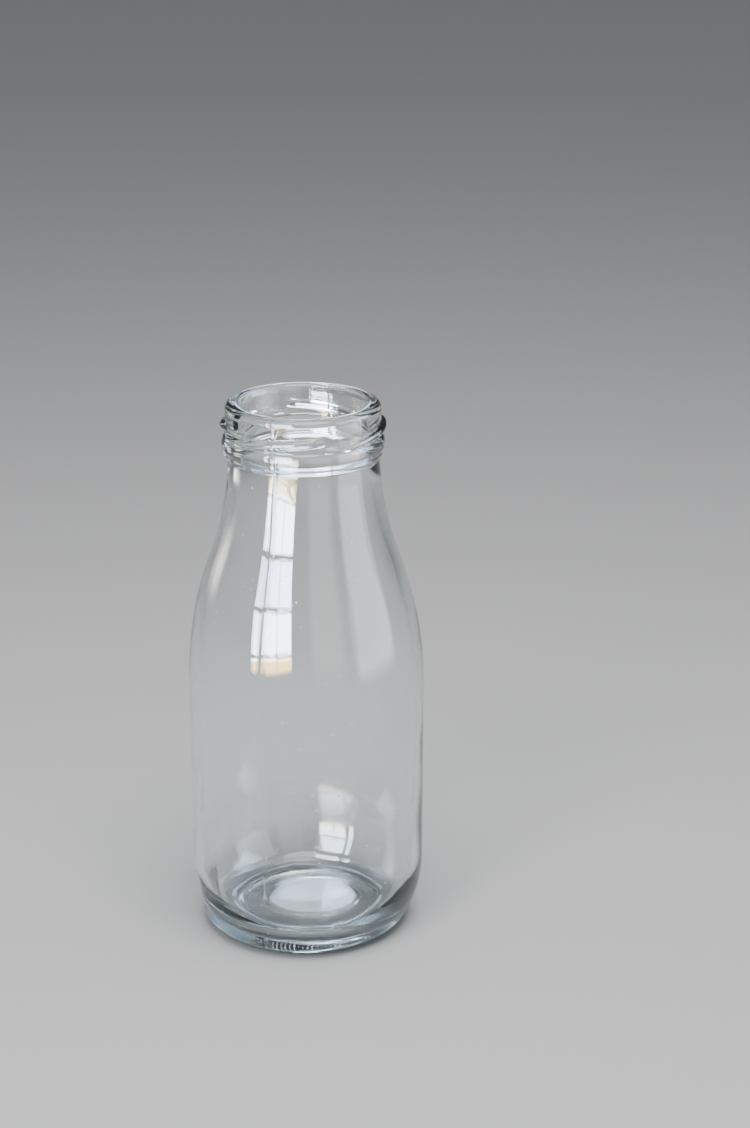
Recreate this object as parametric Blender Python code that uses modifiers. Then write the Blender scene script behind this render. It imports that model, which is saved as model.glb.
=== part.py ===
"""Clear glass milk bottle with a wide mouth and a four-lug screw finish, used as a vase.

The whole bottle is one blown piece. Its glass is one section, drawn as a line that starts on the
axis at the inner floor, climbs the inside, crosses the sealing rim, runs down the outside and
returns to the axis under the pushed-up base. Turning that line makes the closed wall, and four
helical lugs are then joined to the mouth.

Metres, +Z up. The origin is on the axis, in the plane that the bottle stands on.
"""

import math

import bmesh
import bpy

# Overall form
HEIGHT = 0.1470
BODY_RADIUS = 0.0315
WALL = 0.0025
SHOULDER_START = 0.0700

# The shoulder and the neck flare are two arcs that meet with no corner. This is the shoulder's
# share of their two radii together.
SHOULDER_ARC_SHARE = 0.54

# Mouth: every depth is measured down from the sealing rim
FINISH_RADIUS = 0.0203
FINISH_WALL = 0.0036
LIP_OUTER_FILLET = 0.0018
LIP_INNER_FILLET = 0.0006
BORE_DEPTH = 0.0120
BORE_BLEND = 0.0040
NECK_RADIUS = 0.0198
NECK_TANGENT_DEPTH = 0.0124

# Carrying ring under the lugs
BEAD_TOP_DEPTH = 0.0085
BEAD_CREST_DEPTH = 0.0108
BEAD_CORNER_DEPTH = 0.0130
BEAD_FOOT_DEPTH = 0.0137
BEAD_PROJECTION = 0.0010
BEAD_CORNER_PROJECTION = 0.0003

# Lugs: short right-handed threads, each rising from the top of the ring towards the rim
LUG_COUNT = 4
LUG_PROJECTION = 0.00135
LUG_HALF_WIDTH = 0.0012
LUG_LOW_DEPTH = 0.0086
LUG_HIGH_DEPTH = 0.0053
LUG_START_ANGLE = -80.0
LUG_SWEEP_ANGLE = 97.0
LUG_TAPER_SHARE = 0.16
LUG_TIP_SHARE = 0.3
LUG_POINTS = 19
LUG_BEVEL_RESOLUTION = 2

# Heel: three arcs, each tighter than the one above it, from the wall to the standing ring
HEEL_RADII = (0.0400, 0.0065, 0.0055)
HEEL_TURNS = (0.0, 22.0, 60.0, 90.0)

# Base
STANDING_RING_WIDTH = 0.0022
PUSH_UP_FILLET = 0.0012
PUSH_UP_RISE = 0.0024
STIPPLE_BAND_WIDTH = 0.0070
DISC_STEP = 0.0004
FLOOR_THICKNESS = 0.0042
FLOOR_CROWN = 0.0005
INNER_HEEL_RADIUS = 0.0120

# Smoothness of the turned form
SEGMENTS = 56
FILLET_STEPS = 4
HEEL_STEPS = (3, 4, 3)
INNER_HEEL_STEPS = 6
SHOULDER_STEPS = 6
BLEND_STEPS = 3
FLOOR_STEPS = 2
SHARP_ANGLE = 35.0
MERGE_DISTANCE = 0.00001

MILLILITRES_PER_CUBIC_METRE = 1e6


def arc(centre_r, centre_z, radius, start, end, steps):
    """Points on a round stretch of the section. Angles are in degrees from the +R direction."""
    points = []
    for step in range(steps + 1):
        angle = math.radians(start + (end - start) * step / steps)
        points.append((centre_r + radius * math.cos(angle), centre_z + radius * math.sin(angle)))
    return points


def ease(start, end, steps):
    """Points on an S-shaped stretch that leaves and arrives parallel to the axis."""
    points = []
    for step in range(steps + 1):
        share = step / steps
        swing = (1 - math.cos(math.pi * share)) / 2
        points.append((start[0] + (end[0] - start[0]) * swing, start[1] + (end[1] - start[1]) * share))
    return points


def arc_radius(run, drop):
    """Radius of an arc that starts parallel to the axis and moves in by drop over run."""
    return (run * run + drop * drop) / (2 * drop)


def shoulder():
    """Centres, radii and turn of the two arcs between the straight body and the neck."""
    rise = HEIGHT - NECK_TANGENT_DEPTH - SHOULDER_START
    inset = BODY_RADIUS - NECK_RADIUS
    turn = 2 * math.atan2(inset, rise)
    total = rise / math.sin(turn)
    low_radius = total * SHOULDER_ARC_SHARE
    high_radius = total - low_radius
    return {
        "turn": math.degrees(turn),
        "low_radius": low_radius,
        "low_centre": (BODY_RADIUS - low_radius, SHOULDER_START),
        "high_radius": high_radius,
        "high_centre": (NECK_RADIUS + high_radius, HEIGHT - NECK_TANGENT_DEPTH),
    }


def neck_arc(form, offset, end_z):
    """The flare from the shoulder up to end_z, moved into the glass by offset."""
    centre_r, centre_z = form["high_centre"]
    radius = form["high_radius"] + offset
    end = 180.0 + math.degrees(math.asin((centre_z - end_z) / radius))
    return arc(centre_r, centre_z, radius, 180.0 + form["turn"], end, SHOULDER_STEPS)


def shoulder_arc(form, offset):
    """The convex shoulder from the straight body upwards, moved into the glass by offset."""
    centre_r, centre_z = form["low_centre"]
    return arc(centre_r, centre_z, form["low_radius"] - offset, 0.0, form["turn"], SHOULDER_STEPS)


def heel():
    """The outside of the heel from the body wall down to the standing ring."""
    heights = []
    for radius, start, end in zip(HEEL_RADII, HEEL_TURNS, HEEL_TURNS[1:]):
        heights.append(radius * (math.sin(math.radians(end)) - math.sin(math.radians(start))))
    point = (BODY_RADIUS, sum(heights))
    points = [point]
    for radius, start, end, steps in zip(HEEL_RADII, HEEL_TURNS, HEEL_TURNS[1:], HEEL_STEPS):
        centre_r = point[0] - radius * math.cos(math.radians(start))
        centre_z = point[1] + radius * math.sin(math.radians(start))
        stretch = arc(centre_r, centre_z, radius, -start, -end, steps)
        points += stretch[1:]
        point = stretch[-1]
    # The last arc ends in the standing plane, but for a rounding error that is removed here
    points[-1] = (point[0], 0.0)
    return points


def base(standing_radius):
    """The underside from the standing ring in to the axis."""
    inner = standing_radius - STANDING_RING_WIDTH
    band = inner - PUSH_UP_FILLET
    disc = band - STIPPLE_BAND_WIDTH
    disc_z = PUSH_UP_RISE + DISC_STEP
    points = [(inner, 0.0)]
    points += ease((inner, 0.0), (band, PUSH_UP_FILLET), FILLET_STEPS)[1:]
    points.append((disc + DISC_STEP, PUSH_UP_RISE))
    points.append((disc, disc_z))
    points.append((0.0, disc_z))
    return points


def inside(form):
    """The inside of the glass from the axis at the floor up to the inner edge of the rim."""
    floor_z = PUSH_UP_RISE + DISC_STEP + FLOOR_THICKNESS
    wall_r = BODY_RADIUS - WALL
    corner_r = wall_r - INNER_HEEL_RADIUS
    low_z = floor_z - FLOOR_CROWN
    points = []
    for step in range(FLOOR_STEPS):
        share = step / FLOOR_STEPS
        points.append((corner_r * share, floor_z - FLOOR_CROWN * share * share))
    points += arc(corner_r, low_z + INNER_HEEL_RADIUS, INNER_HEEL_RADIUS, -90.0, 0.0, INNER_HEEL_STEPS)
    points += shoulder_arc(form, WALL)
    bore_end = (FINISH_RADIUS - FINISH_WALL, HEIGHT - BORE_DEPTH)
    flare = neck_arc(form, WALL, bore_end[1] - BORE_BLEND)
    points += flare[1:]
    points += ease(flare[-1], bore_end, BLEND_STEPS)[1:]
    points += arc(bore_end[0] + LIP_INNER_FILLET, HEIGHT - LIP_INNER_FILLET, LIP_INNER_FILLET,
                  180.0, 90.0, FILLET_STEPS)
    return points


def bead():
    """The carrying ring: a round flank above its crest, a flatter one below, and an undercut foot."""
    crest_r = FINISH_RADIUS + BEAD_PROJECTION
    crest_z = HEIGHT - BEAD_CREST_DEPTH
    upper_run = BEAD_CREST_DEPTH - BEAD_TOP_DEPTH
    lower_run = BEAD_CORNER_DEPTH - BEAD_CREST_DEPTH
    upper = arc_radius(upper_run, BEAD_PROJECTION)
    lower = arc_radius(lower_run, BEAD_PROJECTION - BEAD_CORNER_PROJECTION)
    upper_turn = math.degrees(math.asin(upper_run / upper))
    lower_turn = math.degrees(math.asin(lower_run / lower))
    points = arc(crest_r - upper, crest_z, upper, upper_turn, 0.0, FILLET_STEPS)
    points += arc(crest_r - lower, crest_z, lower, 0.0, -lower_turn, FILLET_STEPS)[1:]
    return points


def outside(form):
    """The outside of the glass from the outer edge of the rim down to the axis under the base."""
    points = arc(FINISH_RADIUS - LIP_OUTER_FILLET, HEIGHT - LIP_OUTER_FILLET, LIP_OUTER_FILLET,
                 90.0, 0.0, FILLET_STEPS)
    points += bead()
    points += reversed(neck_arc(form, 0.0, HEIGHT - BEAD_FOOT_DEPTH))
    points += list(reversed(shoulder_arc(form, 0.0)))[1:]
    standing = heel()
    points += standing
    points += base(standing[-1][0])
    return points


def turned_glass(name, points, collection):
    """A closed wall of glass, made by turning the section line around the axis."""
    mesh = bpy.data.meshes.new(name)
    vertices = [(r, 0.0, z) for r, z in points]
    edges = [(index, index + 1) for index in range(len(vertices) - 1)]
    mesh.from_pydata(vertices, edges, [])
    glass = bpy.data.objects.new(name, mesh)
    collection.objects.link(glass)
    turn = glass.modifiers.new("turn", "SCREW")
    turn.axis = "Z"
    turn.angle = math.tau
    turn.steps = SEGMENTS
    turn.render_steps = SEGMENTS
    turn.use_merge_vertices = True
    turn.merge_threshold = MERGE_DISTANCE
    turn.use_smooth_shade = True
    return glass


def lug_mesh():
    """One lug: a round rib on a rising helix, half sunk in the wall and tapered at both ends."""
    curve = bpy.data.curves.new("lug_path", "CURVE")
    curve.dimensions = "3D"
    curve.bevel_depth = LUG_HALF_WIDTH
    curve.bevel_resolution = LUG_BEVEL_RESOLUTION
    curve.use_fill_caps = True
    spline = curve.splines.new("POLY")
    spline.points.add(LUG_POINTS - 1)
    for index, point in enumerate(spline.points):
        share = index / (LUG_POINTS - 1)
        to_end = min(share, 1 - share)
        swell = min(1.0, LUG_TIP_SHARE + (1 - LUG_TIP_SHARE) * to_end / LUG_TAPER_SHARE)
        reach = FINISH_RADIUS + (LUG_PROJECTION - LUG_HALF_WIDTH) * swell
        angle = math.radians(LUG_START_ANGLE + LUG_SWEEP_ANGLE * share)
        depth = LUG_LOW_DEPTH + (LUG_HIGH_DEPTH - LUG_LOW_DEPTH) * share
        point.co = (reach * math.cos(angle), reach * math.sin(angle), HEIGHT - depth, 1.0)
        point.radius = swell
    path = bpy.data.objects.new("lug_path", curve)
    bpy.context.scene.collection.objects.link(path)
    depsgraph = bpy.context.evaluated_depsgraph_get()
    mesh = bpy.data.meshes.new_from_object(path.evaluated_get(depsgraph))
    bpy.data.objects.remove(path)
    shell = bmesh.new()
    shell.from_mesh(mesh)
    bmesh.ops.remove_doubles(shell, verts=shell.verts, dist=MERGE_DISTANCE)
    shell.to_mesh(mesh)
    shell.free()
    return mesh


def join_lugs(glass, cutters):
    """Four copies of the lug around the mouth, each fused to the glass."""
    mesh = lug_mesh()
    for number in range(LUG_COUNT):
        lug = bpy.data.objects.new(f"lug_{number + 1}", mesh)
        lug.rotation_euler.z = math.tau * number / LUG_COUNT
        lug.hide_render = True
        lug.display_type = "WIRE"
        cutters.objects.link(lug)
        fuse = glass.modifiers.new(f"fuse_lug_{number + 1}", "BOOLEAN")
        fuse.operation = "UNION"
        fuse.solver = "EXACT"
        fuse.object = lug


def clear_glass():
    """Colourless soda-lime glass with the faint green of its thick edges."""
    material = bpy.data.materials.new("clear_glass")
    material.use_nodes = True
    shader = material.node_tree.nodes["Principled BSDF"]
    shader.inputs["Base Color"].default_value = (0.90, 0.96, 0.95, 1.0)
    shader.inputs["Metallic"].default_value = 0.0
    shader.inputs["Roughness"].default_value = 0.02
    shader.inputs["IOR"].default_value = 1.52
    shader.inputs["Transmission Weight"].default_value = 1.0
    return material


def capacity(points):
    """Volume inside the bottle, from the floor to the rim, summed in slices of the section."""
    volume = 0.0
    for (low_r, low_z), (high_r, high_z) in zip(points, points[1:]):
        slice_area = (low_r * low_r + low_r * high_r + high_r * high_r) / 3
        volume += math.pi * slice_area * (high_z - low_z)
    return volume


def smooth_by_angle(glass):
    """Replaces the glass with its finished mesh, smooth but for its real corners."""
    depsgraph = bpy.context.evaluated_depsgraph_get()
    mesh = bpy.data.meshes.new_from_object(glass.evaluated_get(depsgraph))
    glass.modifiers.clear()
    glass.data = mesh
    mesh.shade_smooth()
    mesh.set_sharp_from_angle(angle=math.radians(SHARP_ANGLE))


def main():
    for item in list(bpy.data.objects):
        bpy.data.objects.remove(item)
    parts = bpy.data.collections.new("milk_bottle")
    cutters = bpy.data.collections.new("cutters")
    bpy.context.scene.collection.children.link(parts)
    bpy.context.scene.collection.children.link(cutters)

    form = shoulder()
    inner = inside(form)
    glass = turned_glass("glass_bottle", inner + outside(form), parts)
    join_lugs(glass, cutters)
    smooth_by_angle(glass)
    glass.data.materials.clear()
    glass.data.materials.append(clear_glass())
    brimful = capacity(inner) * MILLILITRES_PER_CUBIC_METRE
    print("glass_bottle holds", round(brimful, 1), "ml to the brim")


main()
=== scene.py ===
import math
from functools import partial

import bmesh
import bpy
import numpy as np
from mathutils import Matrix, Quaternion, Vector


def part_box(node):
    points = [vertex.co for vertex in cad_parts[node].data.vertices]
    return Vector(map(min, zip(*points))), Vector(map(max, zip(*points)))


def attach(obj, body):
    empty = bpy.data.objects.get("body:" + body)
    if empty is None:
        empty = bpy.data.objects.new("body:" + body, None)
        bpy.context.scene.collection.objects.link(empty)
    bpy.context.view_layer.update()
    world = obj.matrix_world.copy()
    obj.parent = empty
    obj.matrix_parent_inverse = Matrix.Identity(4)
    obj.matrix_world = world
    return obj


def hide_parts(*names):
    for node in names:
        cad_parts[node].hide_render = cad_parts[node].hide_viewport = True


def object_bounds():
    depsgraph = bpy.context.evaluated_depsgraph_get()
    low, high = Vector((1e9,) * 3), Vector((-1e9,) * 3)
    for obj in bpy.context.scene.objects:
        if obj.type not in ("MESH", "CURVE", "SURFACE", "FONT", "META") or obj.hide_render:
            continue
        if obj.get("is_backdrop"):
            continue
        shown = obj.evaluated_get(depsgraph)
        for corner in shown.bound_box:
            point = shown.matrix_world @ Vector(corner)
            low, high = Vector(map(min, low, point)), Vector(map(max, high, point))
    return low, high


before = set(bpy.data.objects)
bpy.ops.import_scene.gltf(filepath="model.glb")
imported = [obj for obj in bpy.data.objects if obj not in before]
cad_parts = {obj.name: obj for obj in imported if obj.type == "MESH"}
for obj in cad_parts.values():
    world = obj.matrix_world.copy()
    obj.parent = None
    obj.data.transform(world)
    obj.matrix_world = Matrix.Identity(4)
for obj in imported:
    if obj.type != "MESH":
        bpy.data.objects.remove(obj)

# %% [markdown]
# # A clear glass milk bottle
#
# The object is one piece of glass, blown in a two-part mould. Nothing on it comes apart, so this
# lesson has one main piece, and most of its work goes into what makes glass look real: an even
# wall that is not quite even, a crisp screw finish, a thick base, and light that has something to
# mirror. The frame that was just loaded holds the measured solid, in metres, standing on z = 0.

cad_low, cad_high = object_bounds()
glass_low, glass_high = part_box("glass_bottle")
HEIGHT = glass_high.z - glass_low.z
BODY_RADIUS = (glass_high.x - glass_low.x) / 2
print(f"bottle: {HEIGHT * 1000:.1f} mm high, {BODY_RADIUS * 2000:.1f} mm across")

# %% [markdown]
# ## The camera
#
# The photograph looks down at the bottle by about 19 degrees. The camera's place was solved from
# the bottle's own ellipses: the rim and the heel are circles, and how flat each one looks tells
# the height of the lens. With AUTO fit, the sensor width belongs to the long side of the picture,
# here the upright one.

# %% Set the camera where the photograph was taken
PHOTO_SIZE = (750, 1128)
FOCAL_PIXELS = 2390.0
CAMERA_PLACE = Vector((0.0, -0.59691, 0.3112))
CAMERA_YAW = 0.0307
CAMERA_PITCH = 0.3367
CAMERA_ROLL = 0.0021


def camera_axes(yaw, pitch, roll):
    """Right, up and forward directions of a camera that looks along +Y and then turns."""
    level = Vector((math.sin(yaw), math.cos(yaw), 0.0))
    side = Vector((math.cos(yaw), -math.sin(yaw), 0.0))
    top = Vector((0.0, 0.0, 1.0))
    forward = math.cos(pitch) * level - math.sin(pitch) * top
    up = math.sin(pitch) * level + math.cos(pitch) * top
    right = math.cos(roll) * side + math.sin(roll) * up
    up = -math.sin(roll) * side + math.cos(roll) * up
    return right, up, forward


lens = bpy.data.cameras.new("view")
lens.sensor_width = 36.0
lens.lens = FOCAL_PIXELS / max(PHOTO_SIZE) * lens.sensor_width
lens.clip_start = 0.01
lens.clip_end = 20.0
camera = bpy.data.objects.new("view", lens)
right, up, forward = camera_axes(CAMERA_YAW, CAMERA_PITCH, CAMERA_ROLL)
turned = Matrix((right, up, -forward)).transposed()
camera.matrix_world = Matrix.Translation(CAMERA_PLACE) @ turned.to_4x4()
bpy.context.scene.collection.objects.link(camera)
bpy.context.scene.camera = camera
print(f"lens {lens.lens:.1f} mm, looking down {math.degrees(CAMERA_PITCH):.1f} degrees")

# %% [markdown]
# ## The section line
#
# A turned shape is a flat line and an axis. The line here starts on the axis at the inner floor,
# climbs the inside, crosses the rim, runs down the outside and returns under the base. It could be
# drawn by hand as a curve. It is computed instead, from the same radii and depths as the measured
# solid, only with many more points where light shows every facet. Three forms inside the glass go
# their own way, because only light going through them shows them: the base is thinner and its disc
# a little wider, until both stood where the photograph has them, and the inner heel and the inner
# lip are rounder.

# %% Sizes of the mouth, shoulder, heel and base, in metres
WALL = 0.0025
SHOULDER_START = 0.0700
SHOULDER_ARC_SHARE = 0.54
FINISH_RADIUS = 0.0203
FINISH_WALL = 0.0036
LIP_OUTER_FILLET = 0.0018
LIP_INNER_FILLET = 0.0010
BORE_DEPTH = 0.0120
BORE_BLEND = 0.0040
NECK_RADIUS = 0.0198
NECK_TANGENT_DEPTH = 0.0124
RING_TOP_DEPTH = 0.0085
RING_CREST_DEPTH = 0.0108
RING_CORNER_DEPTH = 0.0130
RING_FOOT_DEPTH = 0.0137
RING_PROJECTION = 0.0010
RING_CORNER_PROJECTION = 0.0003
PARTING_RADIUS = 0.00022
PARTING_BULGE = 1.3
PARTING_TURNS = (62.0, -75.0)
HEEL_RADII = (0.0400, 0.0065, 0.0055)
HEEL_TURNS = (0.0, 22.0, 60.0, 90.0)
STANDING_RING_WIDTH = 0.0022
PUSH_UP_FILLET = 0.0012
PUSH_UP_RISE = 0.0026
STIPPLE_BAND_WIDTH = 0.0066
DISC_STEP = 0.0004
FLOOR_THICKNESS = 0.0022
FLOOR_CROWN = 0.0008
INNER_HEEL_RADII = (0.0220, 0.0060)
INNER_HEEL_TURN = 35.0
print(f"wall {WALL * 1000:.1f} mm, finish {FINISH_RADIUS * 2000:.1f} mm across")

# %% Short stretches that the section is made of


def arc(centre, radius, start, end, steps):
    """Points on a round stretch, at angles in degrees from the outward direction."""
    out, up = centre
    turns = [math.radians(start + (end - start) * step / steps) for step in range(steps + 1)]
    return [(out + radius * math.cos(turn), up + radius * math.sin(turn)) for turn in turns]


def straight(start, end, steps):
    """Evenly spaced points between two points."""
    shares = [step / steps for step in range(steps + 1)]
    return [(start[0] + (end[0] - start[0]) * s, start[1] + (end[1] - start[1]) * s) for s in shares]


def ease(start, end, steps):
    """Points on an S-shaped stretch that leaves and arrives parallel to the axis."""
    points = []
    for step in range(steps + 1):
        share = step / steps
        swing = (1 - math.cos(math.pi * share)) / 2
        points.append((start[0] + (end[0] - start[0]) * swing, start[1] + (end[1] - start[1]) * share))
    return points


def arc_radius(run, drop):
    """Radius of an arc that starts parallel to the axis and moves in by drop over run."""
    return (run * run + drop * drop) / (2 * drop)


# %% The shoulder and the neck: two arcs that meet with no corner
rise = HEIGHT - NECK_TANGENT_DEPTH - SHOULDER_START
inset = BODY_RADIUS - NECK_RADIUS
shoulder_turn = 2 * math.atan2(inset, rise)
both_radii = rise / math.sin(shoulder_turn)
low_radius = both_radii * SHOULDER_ARC_SHARE
high_radius = both_radii - low_radius
low_centre = (BODY_RADIUS - low_radius, SHOULDER_START)
high_centre = (NECK_RADIUS + high_radius, HEIGHT - NECK_TANGENT_DEPTH)


def shoulder_arc(offset, steps):
    """The convex shoulder, upwards from the straight body, moved into the glass by offset."""
    return arc(low_centre, low_radius - offset, 0.0, math.degrees(shoulder_turn), steps)


def neck_arc(offset, end_z, steps):
    """The hollow flare from the shoulder up to end_z, moved into the glass by offset."""
    radius = high_radius + offset
    end = 180.0 + math.degrees(math.asin((high_centre[1] - end_z) / radius))
    return arc(high_centre, radius, 180.0 + math.degrees(shoulder_turn), end, steps)


print(f"shoulder turns {math.degrees(shoulder_turn):.1f} degrees, on radii of "
      f"{low_radius * 1000:.0f} and {high_radius * 1000:.0f} mm")

# %% [markdown]
# ## What is a little off in the real bottle
#
# Four mould parts make such a bottle: a ring for the mouth, two halves for the body and a plate for
# the base. They never line up exactly. In the photograph the mouth sits 0.4 mm to the left of the
# body, with the neck two thirds of the way there and the bore to the right. The foot sits 0.7 mm
# to the left, but the middle of the base to the right. The wall also runs in too early at the left
# of the heel. Each point of the section carries these shifts, so the tree can slide and pinch whole
# rows of the wall.

# %% Sideways shift and pinch of each height
MOUTH_SHIFT = -0.00038
NECK_SHIFT = -0.00025
BORE_SHIFT = 0.00018
FOOT_SHIFT = -0.0007
PLATE_SHIFT = 0.0012
MOUTH_SHIFT_DEPTH = 0.0200
NECK_SHIFT_TOP = 0.1000
FOOT_SHIFT_TOP = 0.0125
FOOT_SHIFT_LOW = 0.0010
PINCH = -0.0007
PINCH_HEIGHT = 0.0112
PINCH_SPREAD = 0.0052


def smooth_share(value, low, high):
    """0 at low and 1 at high, eased at both ends."""
    share = min(1.0, max(0.0, (value - low) / (high - low)))
    return share * share * (3 - 2 * share)


def sideways(z, inner):
    """How far the glass at this height sits to the right of the axis."""
    neck = smooth_share(z, SHOULDER_START, NECK_SHIFT_TOP) * NECK_SHIFT
    mouth = smooth_share(z, HEIGHT - MOUTH_SHIFT_DEPTH, HEIGHT - RING_FOOT_DEPTH)
    if inner:
        return neck + mouth * (BORE_SHIFT - NECK_SHIFT)
    foot = 1.0 - smooth_share(z, FOOT_SHIFT_LOW, FOOT_SHIFT_TOP)
    return neck + mouth * (MOUTH_SHIFT - NECK_SHIFT) + foot * FOOT_SHIFT


# %% How uneven the glass may be, blown inside and moulded outside, in metres
BLOWN_BASE = 0.00030
BLOWN_WALL = 0.00026
BLOWN_NECK = 0.00018
BLOWN_THROAT = 0.00008
BLOWN_BORE = 0.00004
MOULDED_FINISH = 0.00002
MOULDED_NECK = 0.00005
MOULDED_WALL = 0.00006
MOULDED_HEEL = 0.00004
MOULDED_DISC = 0.00003

# %% Draw the section, and note on each stretch how it was formed
SAME_PLACE = 1e-7

section = []


def draw(points, blown=0.0, inner=0.0, seam=0.0, lugs=0.0, heel=0.0):
    """Adds a stretch. Blown is how uneven the glass may be there, and the others are marks."""
    for place in points:
        if not section or math.dist(place, section[-1][:2]) > SAME_PLACE:
            pinch = PINCH * heel * math.exp(-((place[1] - PINCH_HEIGHT) / PINCH_SPREAD) ** 2)
            section.append((*place, blown, inner, seam, lugs, pinch, sideways(place[1], inner)))


floor_z = PUSH_UP_RISE + DISC_STEP + FLOOR_THICKNESS
inner_radius = BODY_RADIUS - WALL
wide_radius, tight_radius = INNER_HEEL_RADII
heel_turn = math.radians(INNER_HEEL_TURN)
corner_radius = inner_radius - wide_radius * (1 - math.cos(heel_turn)) - tight_radius * math.cos(heel_turn)
low_floor_z = floor_z - FLOOR_CROWN
heel_start = low_floor_z + tight_radius * (1 - math.sin(heel_turn)) + wide_radius * math.sin(heel_turn)
CROWN_STEPS = 18
crown_shares = [step / CROWN_STEPS for step in range(CROWN_STEPS + 1)]
crown = [(corner_radius * share, floor_z - FLOOR_CROWN * share * share) for share in crown_shares]
draw(crown, blown=BLOWN_BASE, inner=1.0)
inner_heel = arc((corner_radius, low_floor_z + tight_radius), tight_radius, -90.0, -INNER_HEEL_TURN, 14)
inner_heel += arc((inner_radius - wide_radius, heel_start), wide_radius, -INNER_HEEL_TURN, 0.0, 14)
draw(inner_heel, blown=BLOWN_BASE, inner=1.0)
draw(straight(inner_heel[-1], (inner_radius, SHOULDER_START), 12), blown=BLOWN_WALL, inner=1.0)
draw(shoulder_arc(WALL, 14), blown=BLOWN_WALL, inner=1.0)
bore_end = (FINISH_RADIUS - FINISH_WALL, HEIGHT - BORE_DEPTH)
flare = neck_arc(WALL, bore_end[1] - BORE_BLEND, 14)
draw(flare, blown=BLOWN_NECK, inner=1.0)
draw(ease(flare[-1], bore_end, 8), blown=BLOWN_THROAT, inner=1.0)
lip_centre = (bore_end[0] + LIP_INNER_FILLET, HEIGHT - LIP_INNER_FILLET)
draw(straight(bore_end, (bore_end[0], lip_centre[1]), 8), blown=BLOWN_BORE, inner=1.0)
draw(arc(lip_centre, LIP_INNER_FILLET, 180.0, 90.0, 9))
inside_rows = len(section)
print(f"the inside has {inside_rows} points, and its floor lies {floor_z * 1000:.1f} mm up")

# %% The outside, from the rim to the standing ring
lip_centre = (FINISH_RADIUS - LIP_OUTER_FILLET, HEIGHT - LIP_OUTER_FILLET)
draw(straight(section[-1][:2], (lip_centre[0], HEIGHT), 1))
draw(arc(lip_centre, LIP_OUTER_FILLET, 90.0, 0.0, 10))
lug_top = (FINISH_RADIUS, HEIGHT - LIP_OUTER_FILLET)
lug_foot = (FINISH_RADIUS, HEIGHT - RING_TOP_DEPTH)
draw(straight(lug_top, lug_foot, 36), blown=MOULDED_FINISH, seam=1.0, lugs=1.0)

crest = (FINISH_RADIUS + RING_PROJECTION, HEIGHT - RING_CREST_DEPTH)
upper_run = RING_CREST_DEPTH - RING_TOP_DEPTH
lower_run = RING_CORNER_DEPTH - RING_CREST_DEPTH
upper = arc_radius(upper_run, RING_PROJECTION)
lower = arc_radius(lower_run, RING_PROJECTION - RING_CORNER_PROJECTION)
upper_turn = math.degrees(math.asin(upper_run / upper))
lower_turn = math.degrees(math.asin(lower_run / lower))
draw(arc((crest[0] - upper, crest[1]), upper, upper_turn, 0.0, 10), seam=1.0)
draw(arc((crest[0] - lower, crest[1]), lower, 0.0, -lower_turn, 8), seam=1.0)
parting = (section[-1][0], section[-1][1] - PARTING_RADIUS)
draw(arc(parting, PARTING_RADIUS * PARTING_BULGE, *PARTING_TURNS, 8), seam=1.0)
neck = neck_arc(0.0, HEIGHT - RING_FOOT_DEPTH, 22)[::-1]
draw(ease(section[-1][:2], neck[0], 4))
draw(neck, blown=MOULDED_NECK, seam=1.0)
draw(shoulder_arc(0.0, 18)[::-1], blown=MOULDED_WALL, seam=1.0)
print(f"rim, finish, neck and shoulder have {len(section) - inside_rows} points")

# %% The straight body and the heel
BODY_SEAM = 0.25
HEEL_SEAMS = (0.3, 1.0, 0.0)
HEEL_STEPS = (10, 14, 12)

heel_height = 0.0
for radius, start, end in zip(HEEL_RADII, HEEL_TURNS, HEEL_TURNS[1:]):
    heel_height += radius * (math.sin(math.radians(end)) - math.sin(math.radians(start)))
corner = (BODY_RADIUS, heel_height)
body = straight((BODY_RADIUS, SHOULDER_START), corner, 18)
draw(body, blown=MOULDED_WALL, seam=BODY_SEAM, heel=1.0)
heel_arcs = zip(HEEL_RADII, HEEL_TURNS, HEEL_TURNS[1:], HEEL_STEPS, HEEL_SEAMS)
for radius, start, end, steps, seam in heel_arcs:
    centre = (corner[0] - radius * math.cos(math.radians(start)),
              corner[1] + radius * math.sin(math.radians(start)))
    stretch = arc(centre, radius, -start, -end, steps)
    draw(stretch, blown=MOULDED_HEEL, seam=seam, heel=1.0)
    corner = stretch[-1]
standing_radius = corner[0]
print(f"heel {heel_height * 1000:.1f} mm high, "
      f"standing on a ring of radius {standing_radius * 1000:.1f} mm")

# %% The underside, from the standing ring to the axis
ring_inner = standing_radius - STANDING_RING_WIDTH
band_outer = ring_inner - PUSH_UP_FILLET
disc_radius = band_outer - STIPPLE_BAND_WIDTH
disc_z = PUSH_UP_RISE + DISC_STEP
section[-1] = (standing_radius, *[0.0] * 6, FOOT_SHIFT)
outside_rows = len(section)
draw(straight((standing_radius, 0.0), (ring_inner, 0.0), 8))
draw(ease((ring_inner, 0.0), (band_outer, PUSH_UP_FILLET), 8))
draw(straight((band_outer, PUSH_UP_FILLET), (disc_radius + DISC_STEP, PUSH_UP_RISE), 30))
draw(ease((disc_radius + DISC_STEP, PUSH_UP_RISE), (disc_radius, disc_z), 5))
draw(straight((disc_radius, disc_z), (0.0, disc_z), 9), blown=MOULDED_DISC)
for n in range(outside_rows, len(section)):
    share = smooth_share(standing_radius - section[n][0], 0.0, standing_radius - band_outer)
    section[n] = (*section[n][:-1], FOOT_SHIFT + share * (PLATE_SHIFT - FOOT_SHIFT))
print(f"section: {len(section)} points, {inside_rows} of them inside")

# %% [markdown]
# ## The plan line
#
# Seen from above, the bottle is a circle, and a fixed number of columns would do. But the mould
# was made of two halves, and the glass has a fine ridge where they met. The plan line is a circle
# with its points close together at those two places, so the ridge gets the columns that it needs
# and the rest of the wall keeps few.

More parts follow.
